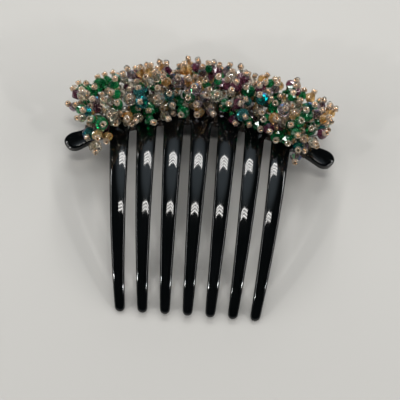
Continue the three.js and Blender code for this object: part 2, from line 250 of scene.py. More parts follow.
def normal_at(x, s):
    slope = TIP_SLOPE - s / SIDE_RADIUS
    normal = np.stack([x / HEAD_RADIUS * np.cos(slope), -np.sin(slope), np.cos(slope)], -1)
    return normal / np.linalg.norm(normal, axis=-1, keepdims=True)


def on_comb(x, s, h):
    """A point x across the comb, s along it from the tooth tips, and h in front of its curved face."""
    x, s, h = np.broadcast_arrays(*(np.asarray(v, float) for v in (x, s, h)))
    slope = TIP_SLOPE - s / SIDE_RADIUS
    y = TIP_Y + SIDE_RADIUS * (math.sin(TIP_SLOPE) - np.sin(slope))
    z = TIP_Z + SIDE_RADIUS * (np.cos(slope) - math.cos(TIP_SLOPE)) - x * x / (2 * HEAD_RADIUS)
    return np.stack([x, y, z], -1) + normal_at(x, s) * h[..., None]


def arch_xs(angle, height):
    """An angle along the arch and a height above the gap tops, as x and s."""
    radius = ARCH_RADIUS + height
    return radius * np.sin(angle), TOOTH_LENGTH - ARCH_RADIUS + radius * np.cos(angle)


def on_arch(angle, height, h):
    x, s = arch_xs(angle, height)
    return on_comb(x, s, h)


def band_height(angle):
    narrowed = np.minimum(1, np.abs(angle) / TAPER_ANGLE)
    return TAB_HEIGHT + (BAND_HEIGHT - TAB_HEIGHT) * (1 - narrowed**2)


def moulding_height(angle):
    """Height of the moulding itself, which flares again into a tab past the end wraps."""
    rise = np.clip((np.abs(angle) - SWELL_START) / (TAB_ANGLE - SWELL_START), 0, 1)
    return band_height(angle) + TAB_SWELL * rise * rise * (3 - 2 * rise)


def gap_top(x):
    return TOOTH_LENGTH - ARCH_RADIUS + np.sqrt(np.maximum(0, ARCH_RADIUS**2 - x * x))


def tooth_pitch(s):
    return TIP_PITCH + (ROOT_PITCH - TIP_PITCH) * s / TOOTH_LENGTH


# ---- Meshes ----


class Shape:
    """The corners and faces of one piece, gathered from several closed solids."""

    def __init__(self):
        self.corners, self.faces, self.count = [], [], 0

    def add(self, corners, faces):
        self.faces += [tuple(c + self.count for c in face) for face in faces]
        self.corners.append(corners)
        self.count += len(corners)

    def make(self, name, material, slot, nodes, smooth=True):
        mesh = bpy.data.meshes.new(name)
        mesh.from_pydata((np.concatenate(self.corners) * MM).tolist(), [], self.faces)
        mesh.polygons.foreach_set("use_smooth", [smooth] * len(mesh.polygons))
        mesh.update()
        mesh.materials.append(material)
        piece = bpy.data.objects.new(name, mesh)
        bpy.context.scene.collection.objects.link(piece)
        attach(piece, "root")
        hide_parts(*nodes)
        return piece


def ring_faces(rings, sides, closed):
    """Quads between rings of corners, where a closed run of rings joins its last to its first."""
    faces = []
    for i in range(rings if closed else rings - 1):
        low, high = i * sides, (i + 1) % rings * sides
        for k in range(sides):
            after = (k + 1) % sides
            faces.append((low + k, low + after, high + after, high + k))
    if not closed:
        faces.append(tuple(reversed(range(sides))))
        faces.append(tuple((rings - 1) * sides + k for k in range(sides)))
    return faces


def tube(points, radius, sides=6, closed=False):
    """A round wire along points."""
    points = np.asarray(points, float)
    if closed:
        along = np.roll(points, -1, 0) - np.roll(points, 1, 0)
    else:
        along = np.gradient(points, axis=0)
    along /= np.linalg.norm(along, axis=1, keepdims=True)
    side = np.cross(along[0], np.eye(3)[np.argmin(np.abs(along[0]))])
    turns = 2 * math.pi * np.arange(sides) / sides
    corners = []
    for point, direction in zip(points, along):
        side = side - direction * side.dot(direction)
        side /= np.linalg.norm(side)
        other = np.cross(direction, side)
        corners.append(point + radius * (np.outer(np.cos(turns), side) + np.outer(np.sin(turns), other)))
    return np.concatenate(corners), ring_faces(len(points), sides, closed)


def faceted_bead(rings, sides, bore):
    """A cut crystal about the Z axis, from rings of (radius, height), bottom first, every second turned."""
    levels = [(bore, rings[0][1], 0), *[(r, z, k % 2) for k, (r, z) in enumerate(rings)]]
    levels.append((bore, rings[-1][1], (len(rings) - 1) % 2))
    corners = []
    for radius, height, turned in levels:
        turns = 2 * math.pi * (np.arange(sides) + 0.5 * turned) / sides
        corners.append(np.stack([radius * np.cos(turns), radius * np.sin(turns), np.full(sides, height)], -1))
    faces = []
    for i in range(len(levels)):
        after = (i + 1) % len(levels)
        shift = levels[after][2] - levels[i][2]
        low, high = i * sides, after * sides
        for k in range(sides):
            here, there = low + k, low + (k + 1) % sides
            if shift == 0:
                faces.append((here, there, high + (k + 1) % sides, high + k))
            elif shift == 1:
                faces.append((here, there, high + k))
                faces.append((there, high + (k + 1) % sides, high + k))
            else:
                faces.append((here, there, high + (k + 1) % sides))
                faces.append((here, high + (k + 1) % sides, high + k))
    return np.concatenate(corners), faces


def seed_bead(sides=14, section=10):
    """A glass seed bead about the Z axis: a short tube with rounded rims."""
    middle, half_wall = (SEED_RADIUS + HOLE_RADIUS) / 2, (SEED_RADIUS - HOLE_RADIUS) / 2
    corners = []
    for k in range(section):
        turn = 2 * math.pi * k / section
        across, up = math.cos(turn), math.sin(turn)
        radius = middle + half_wall * math.copysign(abs(across) ** RIM_ROUNDING, across)
        height = SEED_HALF * math.copysign(abs(up) ** END_ROUNDING, up)
        turns = 2 * math.pi * np.arange(sides) / sides
        corners.append(np.stack([radius * np.cos(turns), radius * np.sin(turns), np.full(sides, height)], -1))
    return np.concatenate(corners), ring_faces(section, sides, closed=True)


def seed_lining(sides=14):
    """The thin metal sleeve that lines a seed bead's hole."""
    radii = (HOLE_RADIUS - LINING_IN, HOLE_RADIUS + LINING_OUT)
    half = LINING_SHARE * SEED_HALF
    rings = [(radii[0], -half), (radii[1], -half), (radii[1], half), (radii[0], half)]
    turns = 2 * math.pi * np.arange(sides) / sides
    corners = [np.stack([r * np.cos(turns), r * np.sin(turns), np.full(sides, z)], -1) for r, z in rings]
    return np.concatenate(corners), ring_faces(len(rings), sides, closed=True)


def facing(direction, spin=0.0):
    """The turn that takes Z to a direction, after a spin about Z, as a 3x3 array."""
    turn = Vector(direction).to_track_quat("Z", "Y").to_matrix()
    return np.array(turn @ Matrix.Rotation(spin, 3, "Z"))


# ---- Comb body ----


def tooth_side(index, side, steps=9):
    """One side of a tooth from root to tip, as x and s: a rounded gap corner, a straight flank, a tip."""
    order = index - (TOOTH_COUNT - 1) / 2
    flare = (ROOT_PITCH - ROOT_WIDTH) / 2
    start = gap_top(order * ROOT_PITCH + side * ROOT_PITCH / 2) - flare
    turn = np.linspace(math.pi / 2, 0, steps)
    power = 2 / GAP_SQUARENESS
    tip = TIP_WIDTH / 2
    s = np.concatenate([
        start + flare * np.sin(turn) ** power,
        np.linspace(start, tip, FLANK_POINTS)[1:-1],
        tip - tip * np.cos(turn),
    ])
    straight = (TIP_WIDTH + (ROOT_WIDTH - TIP_WIDTH) * s / TOOTH_LENGTH) / 2
    half = straight.copy()
    half[:steps] += flare * (1 - np.cos(turn) ** power)
    half[-steps:] *= np.sin(turn)
    return np.stack([order * tooth_pitch(s) + side * half, s], -1)


def body_outline():
    """The comb's outline as x and s, anticlockwise: teeth from left to right, then back over the spine."""
    cap_radius = (TAB_HEIGHT + TAB_SWELL) / 2
    cap = cap_radius / (ARCH_RADIUS + cap_radius)
    first, last = tooth_side(0, -1), tooth_side(TOOTH_COUNT - 1, 1)
    root = math.asin(abs(first[0, 0]) / ARCH_RADIUS)
    runs = [np.stack(arch_xs(np.linspace(-TAB_ANGLE, -root, ARCH_POINTS)[:-1], 0), -1)]
    for index in range(TOOTH_COUNT):
        runs += [tooth_side(index, -1), tooth_side(index, 1)[::-1][1:]]
    runs.append(np.stack(arch_xs(np.linspace(root, TAB_ANGLE, ARCH_POINTS)[1:], 0), -1))
    turn = np.linspace(-math.pi / 2, math.pi / 2, CAP_POINTS)
    right = arch_xs(TAB_ANGLE + cap * np.cos(turn), cap_radius * (1 + np.sin(turn)))
    runs.append(np.stack(right, -1)[1:])
    spine = np.linspace(TAB_ANGLE, -TAB_ANGLE, SPINE_POINTS)
    runs.append(np.stack(arch_xs(spine, moulding_height(spine)), -1)[1:])
    left = arch_xs(-TAB_ANGLE - cap * np.cos(turn), cap_radius * (1 - np.sin(turn)))
    runs.append(np.stack(left, -1)[1:-1])
    return np.concatenate(runs)


def evenly(loop, step):
    """The closed loop again with points a step apart, and its corners eased."""
    closed = np.concatenate([loop, loop[:1]])
    run = np.concatenate([[0], np.cumsum(np.linalg.norm(np.diff(closed, axis=0), axis=1))])
    at = np.arange(0, run[-1] - step / 2, step)
    points = np.stack([np.interp(at, run, closed[:, k]) for k in (0, 1)], -1)
    for _ in range(2):
        points = points / 2 + (np.roll(points, 1, 0) + np.roll(points, -1, 0)) / 4
    return points


def crown_drop(x, s):
    """How far the crowned face is below its highest line: across each tooth, and across the band."""
    order = np.clip(np.round(x / tooth_pitch(s)), -(TOOTH_COUNT - 1) / 2, (TOOTH_COUNT - 1) / 2)
    off_tooth = x - order * tooth_pitch(s)
    fade = np.clip((gap_top(x) - s) / CROWN_FADE, 0, 1)
    fade = fade * fade * (3 - 2 * fade)
    angle = np.arctan2(x, s - TOOTH_LENGTH + ARCH_RADIUS)
    height = np.hypot(x, s - TOOTH_LENGTH + ARCH_RADIUS) - ARCH_RADIUS
    off_band = height - moulding_height(angle) / 2
    return fade * off_tooth**2 / (2 * CROWN_RADIUS) + (1 - fade) * off_band**2 / (2 * BAND_CROWN_RADIUS)


def half_thickness(x, s):
    tooth = TIP_THICKNESS + (ROOT_THICKNESS - TIP_THICKNESS) * s / TOOTH_LENGTH
    tooth = tooth * np.minimum(1, TIP_THINNING + (1 - TIP_THINNING) * s / TIP_RUN)
    into_band = np.clip((s - gap_top(x) + ROOT_LEAD) / ROOT_RUN, 0, 1)
    return (tooth + (BAND_THICKNESS - tooth) * into_band) / 2 - crown_drop(x, s)


def inside(points, loop):
    """Which points lie inside the loop and well away from it."""
    after = np.roll(loop, -1, 0)
    px, py = points[:, :1], points[:, 1:]
    crosses = (loop[:, 1] > py) != (after[:, 1] > py)
    rise = np.where(after[:, 1] == loop[:, 1], 1e-9, after[:, 1] - loop[:, 1])
    at = loop[:, 0] + (py - loop[:, 1]) * (after[:, 0] - loop[:, 0]) / rise
    within = (crosses & (px < at)).sum(1) % 2 == 1
    nearest = np.hypot(px - loop[:, 0], py - loop[:, 1]).min(1)
    return within & (nearest > FACE_STEP / 3)


def face_points():
    """Mesh points over the body's faces: rows across each tooth, and arcs along the band."""
    points = []
    for index in range(TOOTH_COUNT):
        order = index - (TOOTH_COUNT - 1) / 2
        for s in np.arange(2, TOOTH_LENGTH - 1, FACE_STEP):
            half = (TIP_WIDTH + (ROOT_WIDTH - TIP_WIDTH) * s / TOOTH_LENGTH) / 2 - BEVEL
            points += [(order * tooth_pitch(s) + half * share, s) for share in ROW_SHARES]
    angles = np.arange(-TAB_ANGLE, TAB_ANGLE, FACE_STEP / ARCH_RADIUS)
    for angle in angles:
        for height in np.arange(0.4, moulding_height(angle), FACE_STEP):
            x, s = arch_xs(angle, height)
            if s > gap_top(x) - 0.5:
                points.append((x, s))
    return np.array(points)


def comb_body(material):
    """The one-piece moulding: crowned teeth and band with rounded edges, resting flat at the tips."""
    outline = evenly(body_outline(), OUTLINE_STEP)
    along = np.roll(outline, -1, 0) - np.roll(outline, 1, 0)
    inward = np.stack([-along[:, 1], along[:, 0]], -1) / np.linalg.norm(along, axis=1, keepdims=True)
    rounding = np.minimum(BEVEL, 0.8 * half_thickness(*outline.T))
    loops, drops = [], []
    for k in range(BEVEL_STEPS + 1):
        turn = math.pi / 2 * k / BEVEL_STEPS
        loops.append(outline + inward * (rounding * (1 - math.cos(turn)))[:, None])
        drops.append(rounding * (1 - math.sin(turn)))
    count = len(outline)
    extra = face_points()
    extra = extra[inside(extra, loops[-1])]
    flat = np.concatenate([loops[-1], extra])
    made = delaunay_2d_cdt([Vector(p) for p in flat], [], [list(range(count))], 1, 1e-5)
    original = [ids[0] for ids in made[3]]
    flat_faces = [tuple(original[v] for v in face) for face in made[2]]

    xs = np.concatenate([*loops, extra])
    drop = np.concatenate([*drops, np.zeros(len(extra))])
    height = half_thickness(*xs.T) - drop
    mid = -BAND_THICKNESS / 2
    shape = Shape()
    corners = np.concatenate([on_comb(*xs.T, mid + height), on_comb(*xs.T, mid - height)])
    corners[:, 2] = np.maximum(corners[:, 2], 0)
    back = len(xs)
    base = BEVEL_STEPS * count
    faces = []
    for face in flat_faces:
        faces.append(tuple(v + base for v in face))
        faces.append(tuple(v + base + back for v in reversed(face)))
    for i in range(count):
        after = (i + 1) % count
        faces.append((back + i, back + after, after, i))
        for k in range(BEVEL_STEPS):
            low, high = k * count, (k + 1) * count
            front = (low + i, low + after, high + after, high + i)
            faces.append(front)
            faces.append(tuple(v + back for v in reversed(front)))
    shape.add(corners, faces)
    return shape.make("comb_moulding", material, "comb_plastic", ["comb_body"])


# ---- Bead layout ----


def make_draw(seed):
    """A repeatable draw of numbers between 0 and 1, the same as the CAD's."""
    state = seed

    def draw():
        nonlocal state
        state = state * 16807 % 2147483647
        return state / 2147483647

    return draw


def pick(choices, value):
    """The place in choices where their shares, added up, pass the value."""
    passed = 0
    for place, entry in enumerate(choices):
        passed += entry["share"]
        if passed > value:
            return place
    return len(choices) - 1


def beside_line(angle, fan, reach):
    """A point beside the line that the sprays fan out from."""
    height = band_height(angle) * SPRAY_LINE
    return on_arch(angle, height + reach * np.sin(fan), SPRAY_LIFT + reach * np.cos(fan))


def wrap_angles():
    orders = np.arange(TOOTH_COUNT - 1) + 0.5 - (TOOTH_COUNT - 1) / 2
    gaps = np.arcsin(orders * ROOT_PITCH / ARCH_RADIUS)
    return [-END_WRAP_ANGLE, *gaps, END_WRAP_ANGLE]


def knot_angle(sector, station):
    """Where a spray's knot is along the arch, moved aside where a binding wrap is in its way."""
    pitch = 2 * KNOT_SPAN / STATIONS
    angle = -KNOT_SPAN + (station + STAGGER[sector % 2]) * pitch
    room = (WRAP_WIDTH / 2 + KNOT_RADIUS + WIRE_GAP) / (ARCH_RADIUS + band_height(angle) * SPRAY_LINE)
    for wrap in wrap_angles():
        if abs(wrap - angle) < room:
            return wrap + math.copysign(room, angle - wrap)
    return angle


def lay_out_stems():
    """Every stem of beads as arrays: fan angle, angle along the arch, reach, crystal, colour, spray, knot."""
    draw = make_draw(SEED_OF_LAYOUT)
    rows = []
    for layer in (OUTER, INNER):
        fan_pitch = (FAN_HIGH - FAN_LOW) / layer["rows"]
        angle_pitch = 2 * SPRAY_SPAN / layer["columns"]
        for row in range(layer["rows"]):
            for column in range(layer["columns"]):
                stagger = STAGGER[row % 2]
                fan = FAN_LOW + (row + 0.5 + FAN_JITTER * (draw() - 0.5)) * fan_pitch
                angle = -SPRAY_SPAN + (column + stagger + ARCH_JITTER * (draw() - 0.5)) * angle_pitch
                reach = layer["reach"] + layer["spread"] * (2 * draw() - 1)
                rows.append((fan, angle, reach, pick(CRYSTALS, draw()), pick(COLOURS, draw())))
    fan, angle, reach, crystal, colour = (np.array(column) for column in zip(*rows))
    sector = np.clip(np.floor((fan - FAN_LOW) / (FAN_HIGH - FAN_LOW) * len(SECTORS)), 0, len(SECTORS) - 1)
    station = np.clip(np.floor((angle + SPRAY_SPAN) / (2 * SPRAY_SPAN) * STATIONS), 0, STATIONS - 1)
    colour = np.where((crystal == RONDELLE) & (fan < CLEAR_FAN) & (colour % 2 == 1), CLEAR, colour)
    stems = {"fan": fan, "angle": angle, "reach": reach, "crystal": crystal, "colour": colour}
    stems["spray"] = (sector * STATIONS + station).astype(int)
    stems["radius"] = np.array([entry["radius"] for entry in CRYSTALS], float)[crystal]
    stems["half"] = np.array([entry["half"] for entry in CRYSTALS])[crystal]
    stems["knot"] = np.array([spray_knot(spray) for spray in stems["spray"]])
    settle(stems)
    stems["tip"] = beside_line(stems["angle"], stems["fan"], stems["reach"])
    return stems


def spray_knot(spray):
    sector, station = divmod(int(spray), STATIONS)
    line = WIRE_LINES["lower" if sector < 2 else "upper"]
    angle = knot_angle(sector, station)
    return on_arch(angle, band_height(angle) * line, SPRAY_LIFT)


def balls_of(stems):
    """Balls that stand for each stem while it settles: its seed, crystal, knot and bare wire."""
    tip = beside_line(stems["angle"], stems["fan"], stems["reach"])
    length = np.linalg.norm(tip - stems["knot"], axis=1)
    crystal_at = length - SEED_HALF - stems["half"]
    bare = crystal_at - stems["half"]
    at = np.stack([length, crystal_at, 0 * length, *[bare * share for share in BARE_BALLS]], 1)
    radii = np.full(at.shape, STEM_RADIUS + WIRE_CLEARANCE)
    radii[:, 0], radii[:, 1], radii[:, 2] = SEED_RADIUS, stems["radius"], KNOT_RADIUS
    share = at / length[:, None]
    centres = stems["knot"][:, None] + (tip - stems["knot"])[:, None] * share[..., None]
    return centres, radii, share


def settle(stems):
    """Neighbouring stems push each other apart until no two beads touch, step by step as in the CAD."""
    count = len(stems["fan"])
    same = stems["spray"][:, None] == stems["spray"][None]
    for _ in range(SETTLING_STEPS):
        centres, radii, share = balls_of(stems)
        seeds = centres[:, 0]
        i, j = np.nonzero(np.triu(np.linalg.norm(seeds[:, None] - seeds[None], axis=-1) <= NEIGHBOURS, 1))
        a, b = (k.ravel() for k in np.meshgrid(np.arange(radii.shape[1]), np.arange(radii.shape[1])))
        i, j, a, b = np.repeat(i, len(a)), np.repeat(j, len(a)), np.tile(a, len(i)), np.tile(b, len(i))
        apart = centres[i, a] - centres[j, b]
        distance = np.sqrt((apart * apart).sum(1))
        overlap = radii[i, a] + radii[j, b] + BALL_GAP - distance
        near_knot = same[i, j] & (np.minimum(share[i, a], share[j, b]) < NEAR_KNOT)
        hit = (overlap > 0) & ~near_knot
        i, j, a, b, apart = i[hit], j[hit], a[hit], b[hit], apart[hit]
        push = apart * (PUSH * overlap[hit] / np.maximum(distance[hit], 1e-6))[:, None]
        moves = np.zeros((count, 3))
        np.add.at(moves, i, push / np.maximum(share[i, a], LEAST_LEVER)[:, None])
        np.add.at(moves, j, -push / np.maximum(share[j, b], LEAST_LEVER)[:, None])
        moves[:, 2] += LIFT * np.maximum(0, radii + TABLE_GAP - centres[..., 2]).sum(1)
        nudge(stems, moves)


def nudge(stems, moves):
    """Turns each stem by the move of its tip, and lets it grow or shrink a little."""
    angle, fan, reach = stems["angle"], stems["fan"], stems["reach"]
    tip = beside_line(angle, fan, reach)
    slopes = {
        "fan": (beside_line(angle, fan + SMALL, reach) - tip) / SMALL,
        "angle": (beside_line(angle + SMALL, fan, reach) - tip) / SMALL,
        "reach": (beside_line(angle, fan, reach + SMALL) - tip) / SMALL,
    }
    for name, give in (("fan", 1), ("angle", 1), ("reach", GIVE)):
        slope = slopes[name]
        stems[name] = stems[name] + give * (moves * slope).sum(1) / (slope * slope).sum(1)
    crystal_reach = stems["reach"] - SEED_HALF - stems["half"]
    lean = np.arccos(np.minimum(1, (WRAP_TOP + stems["radius"] - SPRAY_LIFT) / crystal_reach))
    low = np.maximum(FAN_LOW - FAN_SLACK, -lean)
    stems["fan"] = np.minimum(np.minimum(FAN_HIGH + FAN_SLACK, lean), np.maximum(low, stems["fan"]))
    stems["angle"] = np.clip(stems["angle"], -SPRAY_SPAN, SPRAY_SPAN)
    stems["reach"] = np.clip(stems["reach"], INNER["reach"] - REACH_SLACK, OUTER["reach"] + REACH_SLACK)


def spare_crystals(stems, rng):
    """Small crystals lower on the stems, where there is room: (stem, distance from knot, radius, colour)."""
    centres, radii, _ = balls_of(stems)
    beads, sizes = list(centres[:, :2].reshape(-1, 3)), list(radii[:, :2].ravel())
    owners = list(np.repeat(np.arange(len(centres)), 2))
    wires = centres[:, 3:]
    found = []
    for i, (knot, tip) in enumerate(zip(stems["knot"], stems["tip"])):
        length = np.linalg.norm(tip - knot)
        direction = (tip - knot) / length
        top = length - 2 * SEED_HALF - 2 * stems["half"][i]
        at = top - SPARE_LEAST
        while at > SPARE_LOW:
            centre = knot + direction * at
            others = np.array(owners) != i
            room = (np.linalg.norm(np.array(beads) - centre, axis=1) - sizes)[others].min()
            gaps = np.linalg.norm(wires - centre, axis=2).min(1)
            gaps[i] = SPARE_MOST
            radius = min(SPARE_MOST, room, gaps.min() + SPARE_WIRE_OVERLAP, (top - at) / SPARE_SPACING)
            if radius < SPARE_LEAST:
                at -= SPARE_STEP
                continue
            found.append((i, at, radius, pick(SPARE_COLOURS, rng.random())))
            beads.append(centre)
            sizes.append(radius)
            owners.append(-1)
            top = at - SPARE_SPACING * radius
            at = top - SPARE_LEAST
    return found


# ---- Beads and wire ----

CUTS = {  # rings of a crystal's facets, as shares of its radius and half length, and how many go round
    "bicone": ([(0.38, -1), (1, -0.14), (1, 0.14), (0.38, 1)], 7),
    "rondelle": ([(0.4, -1), (0.8, -0.7), (1, -0.2), (1, 0.2), (0.8, 0.7), (0.4, 1)], 9),
    "small": ([(0.42, -1), (0.84, -0.6), (1, 0), (0.84, 0.6), (0.42, 1)], 7),
}


def crystal_shape(kind):
    rings, sides = CUTS[kind["name"]]
    sized = [(radius * kind["radius"], height * kind["half"]) for radius, height in rings]
    return faceted_bead(sized, sides, BORE_RADIUS)


def twisted_stem(start, direction, length):
    """Two strands of wire twisted together along a stem."""
    turn = facing(direction)
    at = np.linspace(0, length, max(4, int(length / 0.8)))
    for strand in (0, math.pi):
        angle = 2 * math.pi * at / TWIST_PITCH + strand
        local = np.stack([STRAND_RADIUS * np.cos(angle), STRAND_RADIUS * np.sin(angle), at], -1)
        yield tube(start + local @ turn.T, STRAND_RADIUS, 5)


def seed_loop(axis, out):
    """The bit of wire that comes up through a seed bead's hole and back down over its side."""
    rim = SEED_RADIUS + STRAND_RADIUS
    lift = SEED_HALF + STRAND_RADIUS
    side = np.cross(axis, np.cross(out, axis) + 0.01 * np.eye(3)[0])
    side /= np.linalg.norm(side)
    path = [(0, -lift), (0, 0), (0, lift), (0.55 * rim, lift + 0.12), (rim, 0.6 * lift), (rim, -0.5 * lift),
            (0.6 * rim, -lift)]
    return np.array([across * side + up * axis for across, up in path])


def knot_coil(spray):
    """The spray's wire wound round the base wire, and the twisted stalk up to its knot."""
    sector, station = divmod(spray, STATIONS)
    angle = knot_angle(sector, station)
    line = WIRE_LINES["lower" if sector < 2 else "upper"]
    turns, per_turn = COIL_TURNS, 14
    at = np.linspace(-0.5, 0.5, turns * per_turn)
    radius = WIRE_RADIUS + STRAND_RADIUS
    spread = turns * COIL_PITCH * STRAND_RADIUS
    along = angle + at * spread / ARCH_RADIUS
    phase = 2 * math.pi * turns * at
    base = band_height(along) * line
    points = on_arch(along, base + radius * np.cos(phase), WIRE_GAP + WIRE_RADIUS + radius * np.sin(phase))
    yield tube(points, STRAND_RADIUS, 5)
    foot = on_arch(angle, band_height(angle) * line, WIRE_GAP + 2 * WIRE_RADIUS)
    knot = spray_knot(spray)
    stalk = knot - foot
    height = np.linalg.norm(stalk)
    yield from twisted_stem(foot, stalk / height, height)
    collar = np.linspace(0, 1, COLLAR_TURNS * per_turn)
    turn = facing(stalk / height)
    ring = 2 * math.pi * COLLAR_TURNS * collar
    across, along = COLLAR_RADIUS * np.stack([np.cos(ring), np.sin(ring)]), (collar - 0.5) * COLLAR_LENGTH
    local = np.stack([*across, along], -1)
    yield tube(knot + local @ turn.T, STRAND_RADIUS, 5)


def bead_sprays(materials):
    """Every spray: its wire, its seed beads, and its crystals colour by colour."""
    stems = lay_out_stems()
    rng = np.random.default_rng(SEED_OF_LOOKS)
    cuts = [crystal_shape(kind) for kind in CRYSTALS]
    seed_corners, seed_faces = seed_bead()
    lining_corners, lining_faces = seed_lining()
    linings = [Shape() for _ in SECTORS]
    spares = spare_crystals(stems, rng)
    for spray in range(len(SECTORS) * STATIONS):
        sector, station = divmod(spray, STATIONS)
        node = f"{SECTORS[sector]}_spray_{station + 1:02d}"
        wire, seeds, crystals = Shape(), Shape(), {}
        for corners, faces in knot_coil(spray):
            wire.add(corners, faces)
        for i in np.nonzero(stems["spray"] == spray)[0]:
            knot, tip = stems["knot"][i], stems["tip"][i]
            length = np.linalg.norm(tip - knot)
            direction = (tip - knot) / length
            crystal_at = length - SEED_HALF - stems["half"][i]
            for corners, faces in twisted_stem(knot, direction, length - SEED_HALF):
                wire.add(corners, faces)
            corners, faces = cuts[stems["crystal"][i]]
            lean = direction + LEAN * rng.normal(size=3)
            turn = facing(lean / np.linalg.norm(lean), rng.uniform(0, math.pi))
            size = rng.uniform(*CRYSTAL_SCALE)
            shape = crystals.setdefault(COLOURS[stems["colour"][i]]["name"], Shape())
            shape.add(knot + direction * crystal_at + size * corners @ turn.T, faces)
            sideways = rng.random() < SIDEWAYS
            axis = direction + (SIDEWAYS_LEAN if sideways else SEED_LEAN) * rng.normal(size=3)
            axis /= np.linalg.norm(axis)
            seeds.add(tip + SEED_SCALE * seed_corners @ facing(axis).T, seed_faces)
            linings[sector].add(tip + SEED_SCALE * lining_corners @ facing(axis).T, lining_faces)
            if sideways:
                wire.add(*tube(tip + seed_loop(axis, direction), STRAND_RADIUS, 5))
            for owner, at, radius, colour in spares:
                if owner == i:
                    shape = crystals.setdefault(COLOURS[colour]["name"], Shape())
                    corners, faces = cuts[-1]
                    turn = facing(direction, rng.uniform(0, math.pi))
                    size = radius / CRYSTALS[-1]["radius"]
                    shape.add(knot + direction * at + size * corners @ turn.T, faces)
        wire.make(f"{node}_wire", materials["wire"], "craft_wire", [node])
        seeds.make(f"{node}_seeds", materials["seed"], "seed_gold", [node])
        for colour, shape in sorted(crystals.items()):
            name = f"{node}_{colour}"
            shape.make(name, materials[colour], f"crystal_{colour}", [node], smooth=False)
    for sector, shape in zip(SECTORS, linings):
        nodes = [f"{sector}_spray_{station + 1:02d}" for station in range(STATIONS)]
        shape.make(f"{sector}_spray_linings", materials["lining"], "seed_gold", nodes)


def base_wire(name, material):
    angle = np.linspace(-WIRE_END, WIRE_END, 90)
    points = on_arch(angle, band_height(angle) * WIRE_LINES[name], WIRE_GAP + WIRE_RADIUS)
    shape = Shape()
    shape.add(*tube(points, WIRE_RADIUS, 10))
    shape.make(f"base_wire_{name}_round", material, "craft_wire", [f"base_wire_{name}"])


def binding_wrap(number, angle, material):
    """Turns of thin wire side by side about the band, drawn tight over the base wires."""
    height = band_height(angle)
    out = THREAD_RADIUS + THREAD_GAP
    low, high = -out, height + out
    front, back = 2 * WIRE_RADIUS + WIRE_GAP + out, -BAND_THICKNESS - out
    middle = np.array([(low + high) / 2, (front + back) / 2])
    reach = np.array([(high - low) / 2, (front - back) / 2])
    turn = 2 * math.pi * np.arange(72) / 72
    share = np.stack([np.cos(turn), np.sin(turn)], -1)
    path = middle + reach * np.sign(share) * np.abs(share) ** WRAP_SQUARENESS
    shape = Shape()
    for k in range(THREAD_TURNS):
        along = angle + (k - (THREAD_TURNS - 1) / 2) * THREAD_PITCH * THREAD_RADIUS / (ARCH_RADIUS + height / 2)
        shape.add(*tube(on_arch(along, path[:, 0], path[:, 1]), THREAD_RADIUS, 8, closed=True))
    shape.make(f"binding_wrap_{number}_turns", material, "craft_wire", [f"binding_wrap_{number}"])


# ---- Materials ----


def linear(colour):
    """A colour given as it looks on screen, 0 to 255, in the shader's linear numbers."""
    return tuple(((c / 255 + 0.055) / 1.055) ** 2.4 if c > 10 else c / 255 / 12.92 for c in colour) + (1,)


class Look:
    """A material of one Principled shader, with textures that follow the object's own coordinates."""

    def __init__(self, name):
        self.material = bpy.data.materials.new(name)
        self.material.use_nodes = True
        self.nodes = self.material.node_tree.nodes
        self.links = self.material.node_tree.links
        self.shader = self.nodes["Principled BSDF"]
        self.place = self.nodes.new("ShaderNodeTexCoord").outputs["Object"]

    def set(self, **values):
        for name, value in values.items():
            self.shader.inputs[name.replace("_", " ")].default_value = value
        return self

    def noise(self, size, detail=2.0, stretch=(1, 1, 1)):
        """Cloudy noise whose blobs are about a size in millimetres."""
        mapping = self.nodes.new("ShaderNodeMapping")
        mapping.inputs["Scale"].default_value = [s / (size * MM) for s in stretch]
        texture = self.nodes.new("ShaderNodeTexNoise")
        texture.inputs["Scale"].default_value = 1
        texture.inputs["Detail"].default_value = detail
        self.links.new(self.place, mapping.inputs["Vector"])
        self.links.new(mapping.outputs["Vector"], texture.inputs["Vector"])
        return texture.outputs["Fac"]

    def cells(self, size):
        """A value that differs from one cell of a size in millimetres to the next."""
        texture = self.nodes.new("ShaderNodeTexVoronoi")
        texture.inputs["Scale"].default_value = 1 / (size * MM)
        self.links.new(self.place, texture.inputs["Vector"])
        return texture.outputs["Color"]

    def ramp(self, value, stops):
        ramp = self.nodes.new("ShaderNodeValToRGB")
        elements = ramp.color_ramp.elements
        for element, (at, colour) in zip(elements, (stops[0], stops[-1])):
            element.position, element.color = at, colour
        for at, colour in stops[1:-1]:
            elements.new(at).color = colour
        self.links.new(value, ramp.inputs["Fac"])
        return ramp.outputs["Color"]

    def range(self, value, low, high):
        span = self.nodes.new("ShaderNodeMapRange")
        span.inputs["To Min"].default_value = low
        span.inputs["To Max"].default_value = high
        self.links.new(value, span.inputs["Value"])
        return span.outputs["Result"]

    def drive(self, name, value):
        self.links.new(value, self.shader.inputs[name])
        return self

    def bump(self, value, depth):
        bump = self.nodes.new("ShaderNodeBump")
        bump.inputs["Distance"].default_value = depth * MM
        self.links.new(value, bump.inputs["Height"])
        self.drive("Normal", bump.outputs["Normal"])
        return self


def plastic_look():
    look = Look("glossy_black_plastic")
    look.set(IOR=1.5)
    cloud = look.noise(14)
    look.drive("Base Color", look.ramp(cloud, [(0.3, linear((2, 3, 3))), (0.7, linear((6, 7, 8)))]))
    look.drive("Roughness", look.range(look.noise(5, 4), 0.03, 0.1))
    look.bump(look.noise(0.5, 3, stretch=(1, 0.12, 1)), 0.002)
    return look.material


